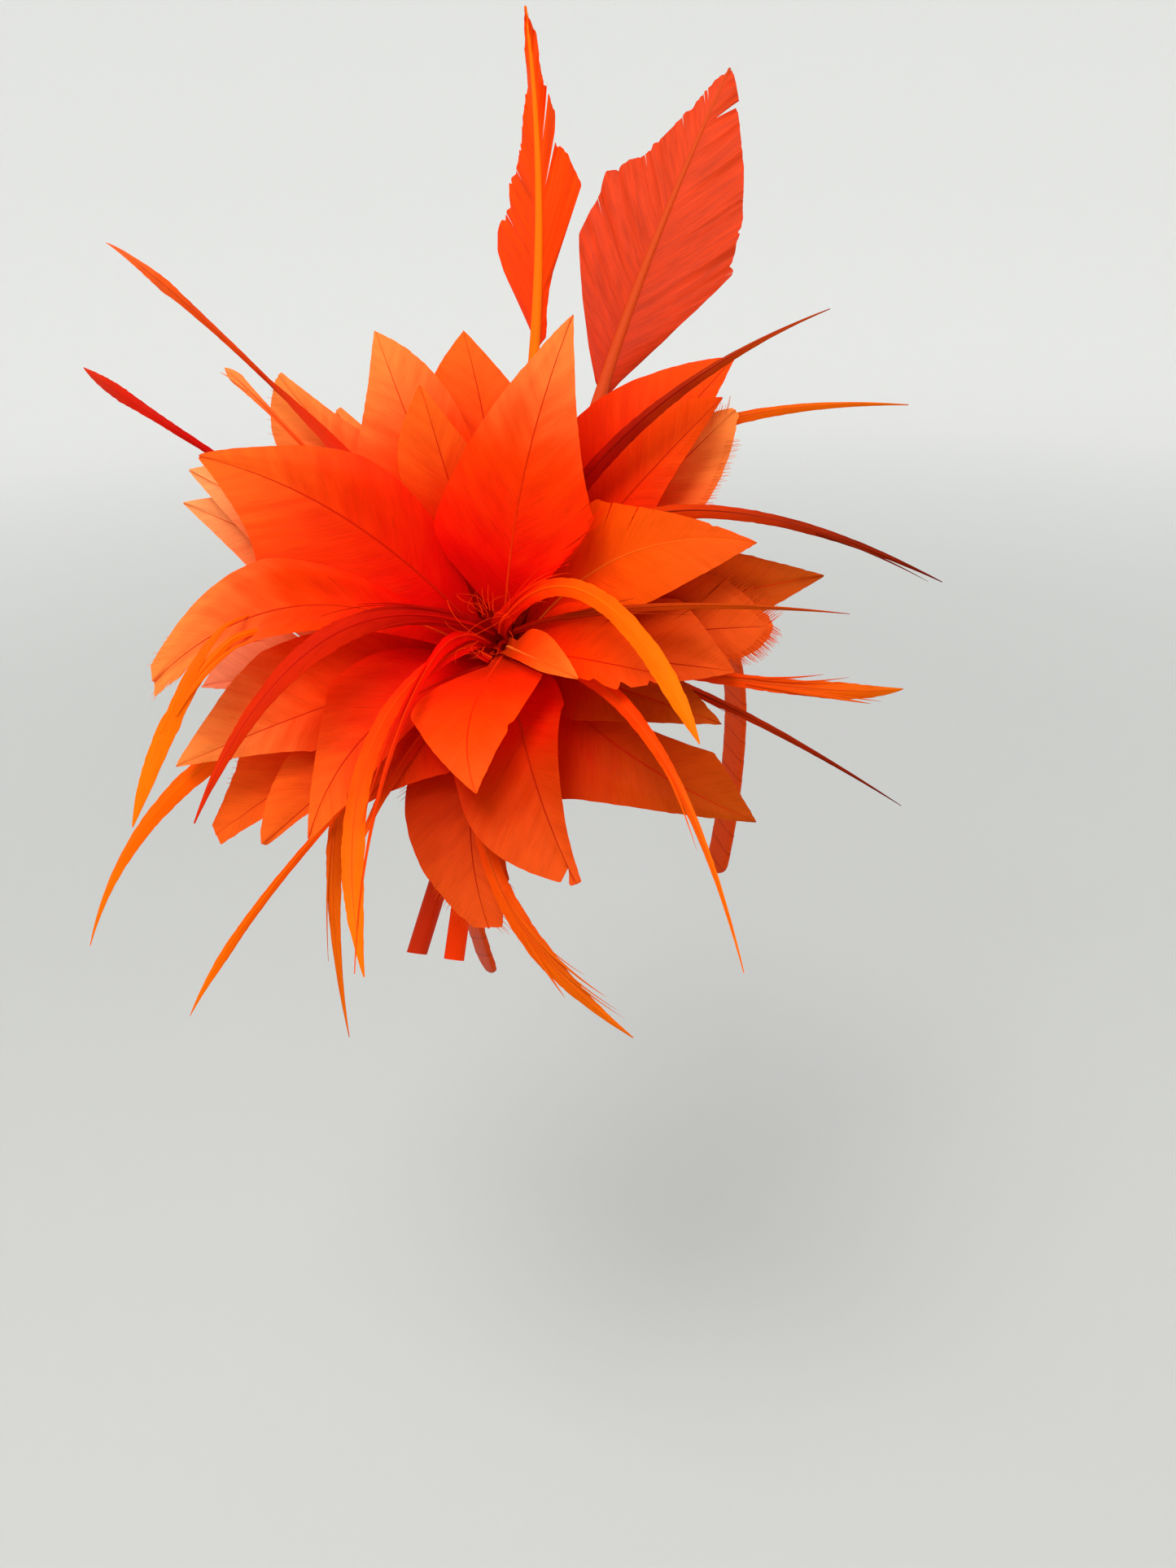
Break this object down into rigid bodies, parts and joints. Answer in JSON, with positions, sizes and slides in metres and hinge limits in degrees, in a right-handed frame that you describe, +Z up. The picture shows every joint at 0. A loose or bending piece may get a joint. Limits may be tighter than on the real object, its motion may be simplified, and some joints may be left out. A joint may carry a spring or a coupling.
{
  "type": "quill fascinator",
  "caption": "Headband fascinator: a flower of trimmed goose feather petals and thin strands on a felt base, with two tall quills behind it",
  "frame": {"origin": "under the crown of the headband, at the middle of its inner face, where it rests on the head", "axes": "+Z is up as it is worn, -Y is the wearer's front, -X is the wearer's right, where the flower is"},
  "size_m": [0.263, 0.3418, 0.326],
  "materials": {
    "headband_satin": "satin cloth wound on a springy strip",
    "felt_base_red": "stiff matt felt",
    "core_binding": "bound feather stems, matt",
    "petal_feather": "dyed goose feather, soft sheen, lets light through",
    "strand_feather": "dyed stripped feather, soft sheen",
    "quill_feather": "dyed wing feather with a glossy shaft"
  },
  "bodies": {
    "root": {"headband": "headband_satin", "felt_base": "felt_base_red", "flower_core": "core_binding", "quill_broad": "quill_feather", "quill_twisted": "quill_feather", "petal_lip": "petal_feather", "petal_crest": "petal_feather", "petal_apron": "petal_feather", "petal_wing": "petal_feather", "petal_wavy": "petal_feather", "petal_folded": "petal_feather", "petal_upper_small": "petal_feather", "petal_side_right": "petal_feather", "petal_lower_left": "petal_feather", "petal_upper_right_mid": "petal_feather", "petal_broad_left": "petal_feather", "petal_lower_mid": "petal_feather", "petal_top_left": "petal_feather", "petal_edge_left": "petal_feather", "petal_right_fold": "petal_feather", "petal_top": "petal_feather", "petal_upper_right": "petal_feather", "petal_point_left": "petal_feather", "petal_under_left": "petal_feather", "petal_point_right": "petal_feather", "petal_round": "petal_feather", "petal_drop_left": "petal_feather", "petal_veil": "petal_feather", "petal_right_frayed": "petal_feather", "petal_right_low": "petal_feather", "petal_back_left": "petal_feather", "petal_fan": "petal_feather", "petal_back_upper": "petal_feather", "petal_back_low": "petal_feather", "petal_back_right": "petal_feather", "strand_arch_right": "strand_feather", "strand_arch_left": "strand_feather", "strand_inner_left": "strand_feather", "strand_front_low": "strand_feather", "strand_side_right": "strand_feather", "strand_brow": "strand_feather", "strand_upper_right": "strand_feather", "strand_right_high": "strand_feather", "strand_left_high": "strand_feather", "strand_left_split": "strand_feather", "strand_left_short": "strand_feather", "strand_low_left_dark": "strand_feather", "strand_lower": "strand_feather", "strand_left_low": "strand_feather", "strand_right_comb": "strand_feather", "strand_lower_left": "strand_feather", "strand_left_red": "strand_feather", "strand_right_thin": "strand_feather", "strand_right_level": "strand_feather", "strand_low": "strand_feather"}
  },
  "joints": []
}
